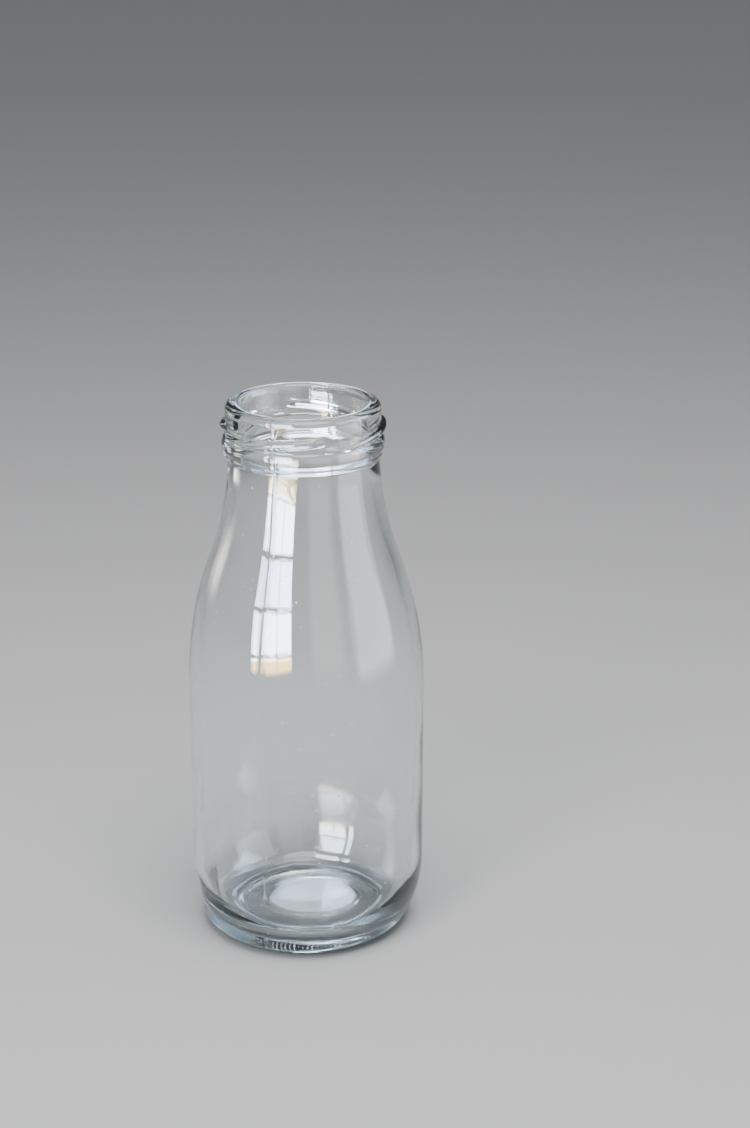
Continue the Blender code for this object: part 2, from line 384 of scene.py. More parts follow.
# %% Spread the columns, denser at the two mould seams
COLUMNS = 244
SEAM_ANGLE = math.radians(-111.0)
SEAM_DENSITY = 4.5
SEAM_REACH = math.radians(1.9)

fine = np.linspace(0.0, math.tau, 20001)
from_seam = np.arcsin(np.abs(np.sin(fine)))
crowd = 1.0 + SEAM_DENSITY * np.exp(-((from_seam / SEAM_REACH) ** 2))
along = np.concatenate([[0.0], np.cumsum((crowd[1:] + crowd[:-1]) / 2)])
angles = np.interp(np.arange(COLUMNS) * along[-1] / COLUMNS, along, fine) + SEAM_ANGLE
print(f"columns every {math.degrees(np.diff(angles).max()):.2f} degrees, "
      f"and every {math.degrees(np.diff(angles).min()):.2f} at the seams")

# %% Store both lines as meshes with marks on their points


def line_mesh(name, places, marks):
    """A mesh of one line, with a number on each point for each mark."""
    mesh = bpy.data.meshes.new(name)
    mesh.from_pydata(places, [(n, n + 1) for n in range(len(places) - 1)], [])
    for mark, values in marks.items():
        stored = mesh.attributes.new(mark, "FLOAT", "POINT")
        stored.data.foreach_set("value", values)
    line = bpy.data.objects.new(name, mesh)
    bpy.context.scene.collection.objects.link(line)
    return line


columns_of = list(zip(*section))
marks = dict(zip(("blown", "inner", "seam", "lugs", "pinch", "sideways"), columns_of[2:]))
bottle = line_mesh("bottle_glass", [(r, 0.0, z) for r, z, *_ in section], marks)
plan = line_mesh("plan_line", [(math.cos(a), math.sin(a), 0.0) for a in angles], {})
print(f"{len(bottle.data.vertices)} rows and {len(plan.data.vertices)} columns, {len(marks)} marks a row")

# %% [markdown]
# ## Small helpers for node trees
#
# Every node tree below is wired in the script. A few helpers keep that readable: one adds a node,
# one sends a value or another node's output into a socket, and the others do arithmetic, ease a
# value between two limits, or mix two colours. In the two trees that make shape, calc is the
# arithmetic helper with its tree already filled in.

# %% Helpers that add and wire nodes


def add(tree, kind, **settings):
    """A new node with its settings."""
    node = tree.nodes.new(kind)
    for name, value in settings.items():
        setattr(node, name, value)
    return node


def feed(tree, socket, value):
    """Links value to socket if it is an output, and sets it otherwise."""
    if isinstance(value, bpy.types.NodeSocket):
        tree.links.new(value, socket)
    else:
        socket.default_value = value


def maths(tree, operation, *values, clamp=False):
    """The result of a Math node on one to three values."""
    node = add(tree, "ShaderNodeMath", operation=operation, use_clamp=clamp)
    for socket, value in zip(node.inputs, values):
        feed(tree, socket, value)
    return node.outputs[0]


def vectors(tree, operation, *values):
    """The result of a Vector Math node."""
    node = add(tree, "ShaderNodeVectorMath", operation=operation)
    for socket, value in zip(node.inputs, values):
        feed(tree, socket, value)
    kind = "Value" if operation in ("LENGTH", "DOT_PRODUCT") else "Vector"
    return node.outputs[kind]


def steps_between(tree, value, low, high, bottom=0.0, top=1.0, kind="SMOOTHSTEP"):
    """Value taken from the range low to high into bottom to top, eased at both ends."""
    node = add(tree, "ShaderNodeMapRange", interpolation_type=kind)
    sockets = ("Value", "From Min", "From Max", "To Min", "To Max")
    for name, wanted in zip(sockets, (value, low, high, bottom, top)):
        feed(tree, node.inputs[name], wanted)
    return node.outputs["Result"]


def mix_colours(tree, share, low, high):
    """A colour between low and high."""
    node = add(tree, "ShaderNodeMix", data_type="RGBA")
    for number, value in (0, share), (6, low), (7, high):
        feed(tree, node.inputs[number], value)
    return node.outputs[2]


def new_sockets(tree, direction, sockets):
    """Adds named inputs or outputs to a node group."""
    for name, kind in sockets:
        tree.interface.new_socket(name=name, in_out=direction, socket_type=kind)


def set_inputs(modifier, values):
    """Sets a modifier's inputs by the identifiers of the tree's sockets."""
    for item in modifier.node_group.interface.items_tree:
        if item.item_type == "SOCKET" and item.in_out == "INPUT" and item.name in values:
            modifier[item.identifier] = values[item.name]


# %% [markdown]
# ## Turning the glass with Geometry Nodes
#
# A Screw modifier can turn a line, but it can't raise screw lugs, seams or uneven glass on the
# way. A node tree can: a Grid has one row for each point of the section and one column for each
# point of the plan, and each grid point looks up its radius and height in the first line and its
# direction in the second. Relief is then a number to move outwards by, worked out from height and
# angle. Merge by Distance closes the poles and the last column.

# %% Start the tree, with its named inputs
turning = bpy.data.node_groups.new("turned_glass", "GeometryNodeTree")
new_sockets(turning, "INPUT", [
    ("Section", "NodeSocketGeometry"), ("Plan", "NodeSocketObject"), ("Rim Height", "NodeSocketFloat"),
    ("Lugs", "NodeSocketInt"), ("Lug Reach", "NodeSocketFloat"), ("Lug Half Width", "NodeSocketFloat"),
    ("Lug Low Depth", "NodeSocketFloat"), ("Lug High Depth", "NodeSocketFloat"),
    ("Lug Start", "NodeSocketFloat"), ("Lug Sweep", "NodeSocketFloat"), ("Lug Taper", "NodeSocketFloat"),
    ("Seam Angle", "NodeSocketFloat"), ("Seam Height", "NodeSocketFloat"),
    ("Seam Width", "NodeSocketFloat"), ("Uneven Size", "NodeSocketFloat"),
    ("Uneven Share", "NodeSocketFloat"), ("Seed", "NodeSocketInt"), ("Glass", "NodeSocketMaterial")])
new_sockets(turning, "OUTPUT", [("Glass Bottle", "NodeSocketGeometry")])
calc = partial(maths, turning)
given = add(turning, "NodeGroupInput").outputs
plan_info = add(turning, "GeometryNodeObjectInfo")
feed(turning, plan_info.inputs["Object"], given["Plan"])
plan_line = plan_info.outputs["Geometry"]
print(f"turned_glass: {len(turning.interface.items_tree) - 1} named inputs")

# %% Look up each grid point in the two lines


def count_points(tree, geometry):
    """How many points a line has."""
    node = add(tree, "GeometryNodeAttributeDomainSize", component="MESH")
    feed(tree, node.inputs["Geometry"], geometry)
    return node.outputs["Point Count"]


def look_up(tree, geometry, value, index, kind):
    """The value that a line's point has, by the point's number."""
    node = add(tree, "GeometryNodeSampleIndex", data_type=kind, domain="POINT")
    feed(tree, node.inputs["Geometry"], geometry)
    feed(tree, node.inputs["Value"], value)
    feed(tree, node.inputs["Index"], index)
    return node.outputs["Value"]


rows = count_points(turning, given["Section"])
columns = count_points(turning, plan_line)
wide = calc("ADD", columns, 1.0)
grid = add(turning, "GeometryNodeMeshGrid")
feed(turning, grid.inputs["Vertices X"], rows)
feed(turning, grid.inputs["Vertices Y"], wide)
index = add(turning, "GeometryNodeInputIndex").outputs[0]
row = calc("FLOOR", calc("DIVIDE", calc("ADD", index, 0.5), wide))
column = calc("FLOORED_MODULO", calc("SUBTRACT", index, calc("MULTIPLY", row, wide)), columns)
own_place = add(turning, "GeometryNodeInputPosition").outputs[0]
profile = add(turning, "ShaderNodeSeparateXYZ")
feed(turning, profile.inputs[0], look_up(turning, given["Section"], own_place, row, "FLOAT_VECTOR"))
direction = look_up(turning, plan_line, own_place, column, "FLOAT_VECTOR")
outward = add(turning, "ShaderNodeSeparateXYZ")
feed(turning, outward.inputs[0], direction)


def mark(name):
    """A mark of the section line, for each grid point."""
    named = add(turning, "GeometryNodeInputNamedAttribute", data_type="FLOAT")
    named.inputs["Name"].default_value = name
    return look_up(turning, given["Section"], named.outputs["Attribute"], row, "FLOAT")


flat = vectors(turning, "SCALE", direction)
feed(turning, flat.node.inputs["Scale"], profile.outputs["X"])
lift = add(turning, "ShaderNodeCombineXYZ")
feed(turning, lift.inputs["X"], mark("sideways"))
feed(turning, lift.inputs["Z"], profile.outputs["Z"])
on_wall = vectors(turning, "ADD", flat, lift.outputs[0])
print(f"turned_glass: {len(turning.nodes)} nodes look up the lines")

# %% [markdown]
# ## The lugs
#
# The mouth has four short threads, so that a cap seizes with a quarter turn. Each one is a round
# rib that climbs as it goes round, and it fades out at both ends. They are a little longer than a
# quarter of the way round, so at some angles one lug starts low while the last one ends high
# above it. The tree therefore works out two ribs for each point and keeps the higher relief.

# %% Height of the lug relief at each angle and depth
LUG_FULLNESS = 0.62

angle = calc("ARCTAN2", outward.outputs["Y"], outward.outputs["X"])
depth = calc("SUBTRACT", given["Rim Height"], profile.outputs["Z"])
quarter = calc("DIVIDE", math.tau, given["Lugs"])
phase = calc("WRAP", calc("SUBTRACT", angle, given["Lug Start"]), quarter, 0.0)


def rib(travel):
    """Relief of one lug that has turned by travel since its low end."""
    share = calc("DIVIDE", travel, given["Lug Sweep"])
    climb = calc("MULTIPLY", calc("SUBTRACT", given["Lug High Depth"], given["Lug Low Depth"]), share)
    middle = calc("ADD", given["Lug Low Depth"], climb)
    to_end = calc("MINIMUM", share, calc("SUBTRACT", 1.0, share))
    swell = steps_between(turning, to_end, 0.0, given["Lug Taper"])
    across = calc("DIVIDE", calc("SUBTRACT", depth, middle), given["Lug Half Width"])
    round_top = calc("SUBTRACT", 1.0, calc("MULTIPLY", across, across), clamp=True)
    shape = calc("POWER", round_top, LUG_FULLNESS)
    return calc("MULTIPLY", calc("MULTIPLY", shape, swell), given["Lug Reach"])


lug_relief = calc("MAXIMUM", rib(phase), rib(calc("ADD", phase, quarter)))
lug_relief = calc("MULTIPLY", lug_relief, mark("lugs"))
print(f"turned_glass: {len(turning.nodes)} nodes with the lugs")

# %% [markdown]
# ## The mould seam and the uneven glass
#
# The seam is a ridge a tenth of a millimetre high at the finish, neck and shoulder, and a quarter
# of that on the straight body. It only shows where it crosses a reflection, as one fine line. The
# glass itself is smooth on the outside, where it touched the mould, and uneven on the inside, where
# only air pressed on it. Slow noise, stretched along the height as the glass was, bends reflections
# and whatever is seen through the wall.

# %% Seam relief and unevenness
DRAWN_LONG = 0.55
INSIDE_NOISE = 7.3

to_seam = vectors(turning, "DOT_PRODUCT", direction)
seam_side = add(turning, "ShaderNodeCombineXYZ")
feed(turning, seam_side.inputs["X"], calc("MULTIPLY", calc("SINE", given["Seam Angle"]), -1.0))
feed(turning, seam_side.inputs["Y"], calc("COSINE", given["Seam Angle"]))
feed(turning, to_seam.node.inputs[1], seam_side.outputs[0])
off_seam = calc("DIVIDE", calc("MULTIPLY", to_seam, profile.outputs["X"]), given["Seam Width"])
bell = calc("EXPONENT", calc("MULTIPLY", calc("MULTIPLY", off_seam, off_seam), -1.0))
seam_relief = calc("MULTIPLY", calc("MULTIPLY", bell, given["Seam Height"]), mark("seam"))

noise = add(turning, "ShaderNodeTexNoise", noise_dimensions="4D")
stretched = vectors(turning, "MULTIPLY", on_wall, (1.0, 1.0, DRAWN_LONG))
feed(turning, noise.inputs["Vector"], stretched)
noise_place = calc("ADD", given["Seed"], calc("MULTIPLY", mark("inner"), INSIDE_NOISE))
feed(turning, noise.inputs["W"], noise_place)
feed(turning, noise.inputs["Scale"], calc("DIVIDE", 1.0, given["Uneven Size"]))
feed(turning, noise.inputs["Detail"], 1.0)
swing = calc("MULTIPLY", calc("SUBTRACT", noise.outputs[0], 0.5), 2.0)
uneven = calc("MULTIPLY", calc("MULTIPLY", swing, mark("blown")), given["Uneven Share"])
print(f"turned_glass: {len(turning.nodes)} nodes with the seam and the noise")

# %% The pinch, and all reliefs together
facing_left = calc("MULTIPLY", outward.outputs["X"], -1.0, clamp=True)
pinched = calc("MULTIPLY", calc("POWER", facing_left, 2.0), mark("pinch"))

relief = calc("ADD", calc("ADD", lug_relief, seam_relief), calc("ADD", uneven, pinched))


def keep(geometry, name, value):
    """Stores a value on the points, so that it is still there when they have moved."""
    node = add(turning, "GeometryNodeStoreNamedAttribute", data_type="FLOAT", domain="POINT")
    for socket, given_value in (("Geometry", geometry), ("Name", name), ("Value", value)):
        feed(turning, node.inputs[socket], given_value)
    return node.outputs["Geometry"]


kept = keep(keep(grid.outputs["Mesh"], "relief", relief), "sideways", mark("sideways"))

# %% Place the grid, close its poles and last column, and only then move the wall by its relief
CLOSING_DISTANCE = 0.000004

turned_grid = add(turning, "GeometryNodeSetPosition")
feed(turning, turned_grid.inputs["Geometry"], kept)
feed(turning, turned_grid.inputs["Position"], on_wall)
closed = add(turning, "GeometryNodeMergeByDistance")
feed(turning, closed.inputs["Geometry"], turned_grid.outputs[0])
feed(turning, closed.inputs["Distance"], CLOSING_DISTANCE)
stored = add(turning, "GeometryNodeInputNamedAttribute", data_type="FLOAT")
stored.inputs["Name"].default_value = "relief"
push = vectors(turning, "SCALE", add(turning, "GeometryNodeInputNormal").outputs[0])
feed(turning, push.node.inputs["Scale"], stored.outputs["Attribute"])
raised = add(turning, "GeometryNodeSetPosition")
feed(turning, raised.inputs["Geometry"], closed.outputs[0])
feed(turning, raised.inputs["Offset"], push)
smooth = add(turning, "GeometryNodeSetShadeSmooth")
feed(turning, smooth.inputs["Geometry"], raised.outputs[0])
real = add(turning, "GeometryNodeRealizeInstances")
feed(turning, real.inputs[0], smooth.outputs[0])
finish = add(turning, "GeometryNodeSetMaterial")
feed(turning, finish.inputs["Geometry"], real.outputs[0])
feed(turning, finish.inputs["Material"], given["Glass"])
ends = add(turning, "NodeGroupOutput")
feed(turning, ends.inputs[0], finish.outputs[0])
print(f"turned_glass: {len(turning.nodes)} nodes in all")

# %% [markdown]
# ## From the tree to a plain mesh
#
# The modifier takes the sizes by the names of the tree's inputs. Its result is then read back as
# an ordinary mesh, because the finished piece has to be plain geometry: the modifier goes, and the
# two lines that it was made from go too.

# %% Helpers that make a plain mesh and check it


def harden(piece):
    """Replaces a piece's mesh with what its modifiers make, and removes them."""
    bpy.context.view_layer.update()
    seen = piece.evaluated_get(bpy.context.evaluated_depsgraph_get())
    mesh = bpy.data.meshes.new_from_object(seen)
    piece.modifiers.clear()
    piece.data = mesh


def check_closed(piece):
    """Prints how many faces a piece has and how much glass it encloses, and stops at an open edge."""
    shell = bmesh.new()
    shell.from_mesh(piece.data)
    loose = sum(len(edge.link_faces) != 2 for edge in shell.edges)
    volume = shell.calc_volume(signed=True) * 1e6
    triangles = len(shell.calc_loop_triangles())
    shell.free()
    print(f"{piece.name}: {triangles} triangles, {loose} open edges, {volume:.1f} cubic cm")
    if loose or volume < 0:
        raise ValueError(f"{piece.name} isn't a closed shell that faces outwards")


# %% Turn the bottle
clear_glass = bpy.data.materials.new("clear_glass")
turn = bottle.modifiers.new("turned_glass", "NODES")
turn.node_group = turning
set_inputs(turn, {
    "Plan": plan, "Rim Height": HEIGHT, "Lugs": 4, "Lug Reach": 0.00135, "Lug Half Width": 0.00122,
    "Lug Low Depth": 0.0086, "Lug High Depth": 0.0053, "Lug Start": math.radians(-80.0),
    "Lug Sweep": math.radians(97.0), "Lug Taper": 0.14, "Seam Angle": SEAM_ANGLE,
    "Seam Height": 0.00011, "Seam Width": 0.00034, "Uneven Size": 0.020, "Uneven Share": 1.0,
    "Seed": 3, "Glass": clear_glass})
harden(bottle)
bpy.data.objects.remove(plan)
check_closed(bottle)

# %% [markdown]
# ## The underside: stipple and knurls
#
# The base is stippled with small dots between the flat disc and the standing ring, and the ring
# itself has very shallow grooves across it, so that the bottle doesn't scratch where it slides.
# Hundreds of separate dots would be heavy and would not be part of the glass. Instead the mesh is
# cut finer there, and a second tree raises the dots out of it. A dot's place follows a rule: rings
# one pitch apart, with as many dots on each as fit at the same pitch.

# %% Cut the round edges of the underside in two
UNDERSIDE_TOP = 0.0034
INNER_MARGIN = 0.0003
OUTER_MARGIN = 0.0022
LEAST_SLANT = 0.02


def reach_of(vertex):
    """How far a vertex lies from the middle of its own row."""
    return math.hypot(vertex.co.x - vertex[shift_of], vertex.co.y)


def under(vertex):
    """True for a vertex on the band, the ring or the foot of the heel."""
    in_reach = disc_radius - INNER_MARGIN < reach_of(vertex) < standing_radius + OUTER_MARGIN
    return in_reach and vertex.co.z < UNDERSIDE_TOP


shell = bmesh.new()
shell.from_mesh(bottle.data)
shift_of = shell.verts.layers.float["sideways"]
round_edges = []
for edge in shell.edges:
    one, other = edge.verts
    slant = abs(reach_of(one) - reach_of(other)) / edge.calc_length()
    if under(one) and under(other) and slant < LEAST_SLANT:
        round_edges.append(edge)
bmesh.ops.subdivide_edges(shell, edges=round_edges, cuts=1, use_grid_fill=True)
for face in shell.faces:
    face.smooth = True
shell.to_mesh(bottle.data)
shell.free()
print(f"{len(round_edges)} edges cut in two under the base")
check_closed(bottle)

# %% Tree that raises dots on the band and cuts grooves across the standing ring
RING_TWIST = 0.37
LOWEST_DOT = 0.45
BARE_INNER = 0.0004
BARE_OUTER = 0.0002

knurling = bpy.data.node_groups.new("stippled_base", "GeometryNodeTree")
new_sockets(knurling, "INPUT", [
    ("Glass Bottle", "NodeSocketGeometry"), ("Band Inner", "NodeSocketFloat"),
    ("Band Outer", "NodeSocketFloat"), ("Dot Pitch", "NodeSocketFloat"),
    ("Dot Radius", "NodeSocketFloat"), ("Dot Height", "NodeSocketFloat"),
    ("Ring Inner", "NodeSocketFloat"), ("Ring Outer", "NodeSocketFloat"), ("Grooves", "NodeSocketInt"),
    ("Groove Depth", "NodeSocketFloat"), ("Top", "NodeSocketFloat"), ("Seed", "NodeSocketInt"),
    ("Glass", "NodeSocketMaterial")])
new_sockets(knurling, "OUTPUT", [("Glass Bottle", "NodeSocketGeometry")])
calc = partial(maths, knurling)
given = add(knurling, "NodeGroupInput").outputs
place = add(knurling, "ShaderNodeSeparateXYZ")
feed(knurling, place.inputs[0], add(knurling, "GeometryNodeInputPosition").outputs[0])
own_shift = add(knurling, "GeometryNodeInputNamedAttribute", data_type="FLOAT")
own_shift.inputs["Name"].default_value = "sideways"
across = calc("SUBTRACT", place.outputs["X"], own_shift.outputs["Attribute"])
reach = calc("SQRT", calc("ADD", calc("POWER", across, 2.0), calc("POWER", place.outputs["Y"], 2.0)))
angle = calc("ARCTAN2", place.outputs["Y"], across)

past_inner = calc("SUBTRACT", reach, given["Band Inner"])
ring_number = calc("ROUND", calc("DIVIDE", past_inner, given["Dot Pitch"]))
ring_radius = calc("ADD", given["Band Inner"], calc("MULTIPLY", ring_number, given["Dot Pitch"]))
dots = calc("ROUND", calc("DIVIDE", calc("MULTIPLY", ring_radius, math.tau), given["Dot Pitch"]))
dot_turn = calc("DIVIDE", math.tau, dots)
shifted = calc("ADD", angle, calc("MULTIPLY", ring_number, RING_TWIST))
dot_number = calc("ROUND", calc("DIVIDE", shifted, dot_turn))
off_turn = calc("SUBTRACT", shifted, calc("MULTIPLY", dot_number, dot_turn))
off_round = calc("MULTIPLY", off_turn, ring_radius)
off_out = calc("SUBTRACT", reach, ring_radius)
off = calc("SQRT", calc("ADD", calc("POWER", off_round, 2.0), calc("POWER", off_out, 2.0)))
chance = add(knurling, "ShaderNodeTexWhiteNoise", noise_dimensions="3D")
which = add(knurling, "ShaderNodeCombineXYZ")
for socket, value in zip(which.inputs, (ring_number, dot_number, given["Seed"])):
    feed(knurling, socket, value)
feed(knurling, chance.inputs["Vector"], which.outputs[0])
dot_share = steps_between(knurling, chance.outputs["Value"], 0.0, 1.0, LOWEST_DOT, 1.0, "LINEAR")
dot_height = calc("MULTIPLY", given["Dot Height"], dot_share)
dot = calc("MULTIPLY", dot_height, steps_between(knurling, off, given["Dot Radius"], 0.0))
beyond_disc = calc("GREATER_THAN", reach, calc("ADD", given["Band Inner"], BARE_INNER))
inside_ring = calc("LESS_THAN", reach, calc("SUBTRACT", given["Band Outer"], BARE_OUTER))
dot = calc("MULTIPLY", dot, calc("MULTIPLY", beyond_disc, inside_ring))
print(f"stippled_base: {len(knurling.nodes)} nodes place the dots")

# %% The grooves, and both reliefs together
GROOVE_START = -1.0
GROOVE_FULL = 0.9
GROOVE_PAST_INNER = 0.0004
GROOVE_PAST_OUTER = 0.0016

wave = calc("COSINE", calc("MULTIPLY", angle, given["Grooves"]))
valley = steps_between(knurling, wave, GROOVE_START, GROOVE_FULL)
ring_width = calc("SUBTRACT", given["Ring Outer"], given["Ring Inner"])
past_ring_inner = calc("SUBTRACT", reach, given["Ring Inner"])
ring_share = calc("DIVIDE", past_ring_inner, ring_width, clamp=True)
over_ring = calc("SINE", calc("MULTIPLY", ring_share, math.pi))
groove = calc("MULTIPLY", calc("MULTIPLY", valley, over_ring), given["Groove Depth"])
below = calc("LESS_THAN", place.outputs["Z"], given["Top"])
lift = calc("MULTIPLY", calc("SUBTRACT", groove, dot), below)
upwards = add(knurling, "ShaderNodeCombineXYZ")
feed(knurling, upwards.inputs["Z"], lift)
dotted = add(knurling, "GeometryNodeSetPosition")
feed(knurling, dotted.inputs["Geometry"], given["Glass Bottle"])
feed(knurling, dotted.inputs["Offset"], upwards.outputs[0])
real = add(knurling, "GeometryNodeRealizeInstances")
feed(knurling, real.inputs[0], dotted.outputs[0])
finish = add(knurling, "GeometryNodeSetMaterial")
feed(knurling, finish.inputs["Geometry"], real.outputs[0])
feed(knurling, finish.inputs["Material"], given["Glass"])
ends = add(knurling, "NodeGroupOutput")
feed(knurling, ends.inputs[0], finish.outputs[0])
print(f"stippled_base: {len(knurling.nodes)} nodes in all")

# %% Stipple the base
stipple = bottle.modifiers.new("stippled_base", "NODES")
stipple.node_group = knurling
set_inputs(stipple, {
    "Band Inner": disc_radius, "Band Outer": band_outer, "Dot Pitch": 0.00100, "Dot Radius": 0.00042,
    "Dot Height": 0.00024, "Ring Inner": ring_inner - GROOVE_PAST_INNER,
    "Ring Outer": standing_radius + GROOVE_PAST_OUTER, "Grooves": 96, "Groove Depth": 0.00003,
    "Top": UNDERSIDE_TOP, "Seed": 5, "Glass": clear_glass})
harden(bottle)
check_closed(bottle)

# %% [markdown]
# ## Clear glass
#
# Flint glass is colourless in a thin wall. Its faint blue-green only shows where light runs a
# long way inside it, along the heel and the rim. Colour on the surface would tint every wall
# alike, so the tint is a Volume Absorption inside the glass: the further the light goes, the
# greener it gets. The surface has what handling leaves: faint smears and a few specks of dust.

# %% A shared effect: smears and specks
SMEARS_START = 0.52
SMEARS_FULL = 0.78
SPECK_SHARE_OF_CELL = 0.25
SPECK_RIM = 0.16
SPECK_CORE = 0.08

handled = bpy.data.node_groups.new("handled_glass", "ShaderNodeTree")
new_sockets(handled, "INPUT", [("Place", "NodeSocketVector"), ("Smear Size", "NodeSocketFloat"),
                               ("Speck Size", "NodeSocketFloat"), ("Speck Share", "NodeSocketFloat")])
new_sockets(handled, "OUTPUT", [("Smears", "NodeSocketFloat"), ("Specks", "NodeSocketFloat")])
given = add(handled, "NodeGroupInput").outputs
smears = add(handled, "ShaderNodeTexNoise", noise_dimensions="3D")
feed(handled, smears.inputs["Vector"], given["Place"])
feed(handled, smears.inputs["Scale"], maths(handled, "DIVIDE", 1.0, given["Smear Size"]))
feed(handled, smears.inputs["Detail"], 5.0)
feed(handled, smears.inputs["Roughness"], 0.62)
smear_mask = steps_between(handled, smears.outputs[0], SMEARS_START, SMEARS_FULL)
cells = add(handled, "ShaderNodeTexVoronoi", voronoi_dimensions="3D", feature="F1")
feed(handled, cells.inputs["Vector"], given["Place"])
feed(handled, cells.inputs["Scale"], maths(handled, "DIVIDE", SPECK_SHARE_OF_CELL, given["Speck Size"]))
spot = steps_between(handled, cells.outputs["Distance"], SPECK_RIM, SPECK_CORE)
chance = add(handled, "ShaderNodeTexWhiteNoise", noise_dimensions="3D")
feed(handled, chance.inputs["Vector"], cells.outputs["Color"])
few = maths(handled, "LESS_THAN", chance.outputs["Value"], given["Speck Share"])
ends = add(handled, "NodeGroupOutput")
feed(handled, ends.inputs["Smears"], smear_mask)
feed(handled, ends.inputs["Specks"], maths(handled, "MULTIPLY", spot, few))
print(f"handled_glass: {len(handled.nodes)} nodes")

# %% The glass itself
SMEAR_ROUGHNESS = 0.09
SPECK_ROUGHNESS = 0.55
SPECK_HEIGHT = 5.0
RIPPLES_PER_METRE = 260.0
RIPPLE_STRENGTH = 0.25
RIPPLE_HEIGHT = 0.00006

clear_glass.use_nodes = True
glass = clear_glass.node_tree
glass.nodes.clear()
where = add(glass, "ShaderNodeTexCoord").outputs["Object"]
wear = add(glass, "ShaderNodeGroup", node_tree=handled)
handling = {"Place": where, "Smear Size": 0.035, "Speck Size": 0.00045, "Speck Share": 0.08}
for name, value in handling.items():
    feed(glass, wear.inputs[name], value)
smear_gloss = steps_between(glass, wear.outputs["Smears"], 0.0, 1.0, 0.0, SMEAR_ROUGHNESS, "LINEAR")
speck_gloss = maths(glass, "MULTIPLY", wear.outputs["Specks"], SPECK_ROUGHNESS)
gloss = maths(glass, "MAXIMUM", smear_gloss, speck_gloss)
surface = add(glass, "ShaderNodeBsdfPrincipled")
flint = {"Base Color": (1.0, 1.0, 1.0, 1.0), "Metallic": 0.0, "Roughness": gloss, "IOR": 1.52,
         "Transmission Weight": 1.0}
for name, value in flint.items():
    feed(glass, surface.inputs[name], value)
ripple = add(glass, "ShaderNodeTexNoise", noise_dimensions="3D")
feed(glass, ripple.inputs["Vector"], where)
feed(glass, ripple.inputs["Scale"], RIPPLES_PER_METRE)
feed(glass, ripple.inputs["Detail"], 2.0)
bump = add(glass, "ShaderNodeBump")
feed(glass, bump.inputs["Strength"], RIPPLE_STRENGTH)
feed(glass, bump.inputs["Distance"], RIPPLE_HEIGHT)
raised_specks = maths(glass, "MULTIPLY_ADD", wear.outputs["Specks"], SPECK_HEIGHT, ripple.outputs[0])
feed(glass, bump.inputs["Height"], raised_specks)
feed(glass, surface.inputs["Normal"], bump.outputs[0])
print(f"clear_glass: {len(glass.nodes)} nodes for its surface")

# %% Light through the glass, for lamps and for the floor under it
EDGE_BLEND = 0.35
THROUGH_WALL = (0.96, 0.962, 0.96, 1.0)
THROUGH_EDGE = (0.46, 0.47, 0.465, 1.0)
THROUGH_STIPPLE = (0.20, 0.215, 0.22, 1.0)
STIPPLE_START = disc_radius - 0.0002
STIPPLE_FULL = disc_radius + 0.0006
TINT = (0.58, 0.86, 0.88, 1.0)
TINT_DENSITY = 22.0

passing = add(glass, "ShaderNodeBsdfTransparent")
edge = add(glass, "ShaderNodeLayerWeight")
feed(glass, edge.inputs["Blend"], EDGE_BLEND)
shade = mix_colours(glass, edge.outputs["Facing"], THROUGH_WALL, THROUGH_EDGE)
spot_in_base = add(glass, "ShaderNodeSeparateXYZ")
feed(glass, spot_in_base.inputs[0], where)
off_middle = add(glass, "ShaderNodeCombineXYZ")
from_plate = maths(glass, "SUBTRACT", spot_in_base.outputs["X"], PLATE_SHIFT)
feed(glass, off_middle.inputs["X"], from_plate)
feed(glass, off_middle.inputs["Y"], spot_in_base.outputs["Y"])
from_middle = vectors(glass, "LENGTH", off_middle.outputs[0])
beyond_disc = steps_between(glass, from_middle, STIPPLE_START, STIPPLE_FULL)
in_base = maths(glass, "LESS_THAN", spot_in_base.outputs["Z"], UNDERSIDE_TOP)
stippled = maths(glass, "MULTIPLY", beyond_disc, in_base)
feed(glass, passing.inputs["Color"], mix_colours(glass, stippled, shade, THROUGH_STIPPLE))
rays = add(glass, "ShaderNodeLightPath")
either = maths(glass, "MAXIMUM", rays.outputs["Is Shadow Ray"], rays.outputs["Is Diffuse Ray"])
mixed = add(glass, "ShaderNodeMixShader")
feed(glass, mixed.inputs[0], either)
feed(glass, mixed.inputs[1], surface.outputs[0])
feed(glass, mixed.inputs[2], passing.outputs[0])
tint = add(glass, "ShaderNodeVolumeAbsorption")
feed(glass, tint.inputs["Color"], TINT)
feed(glass, tint.inputs["Density"], TINT_DENSITY)
out = add(glass, "ShaderNodeOutputMaterial")
feed(glass, out.inputs["Surface"], mixed.outputs[0])
feed(glass, out.inputs["Volume"], tint.outputs[0])
print(f"clear_glass: {len(glass.nodes)} nodes in all")

# %% The bottle stands for the measured solid
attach(bottle, "root")
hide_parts("glass_bottle")
print(f"{bottle.name} stands for glass_bottle")

# %% [markdown]
# ## Floor and light
#
# Glass shows only what it mirrors and bends. A tall soft light stands at the front left, so that a
# bright streak runs down the shoulder as the window does in the photograph. Its foot is on the
# floor, because a wall that stands upright mirrors what is below the camera's own height. Two wide
# dim lights, at the front and at the right, give the broad grey bands beside it, and one high at
# the right and one behind at the left add smaller marks. A small low light behind the bottle is
# what the flat disc in the base mirrors, so that the disc shines in its dull stippled ring. No light
# is seen by the camera, and only the two from above light the floor.

# %% Pale floor
FLOOR_REACH = 4.0
FLOOR_GAP = 0.00003
FLOOR_COLOUR = (0.64, 0.64, 0.65, 1.0)

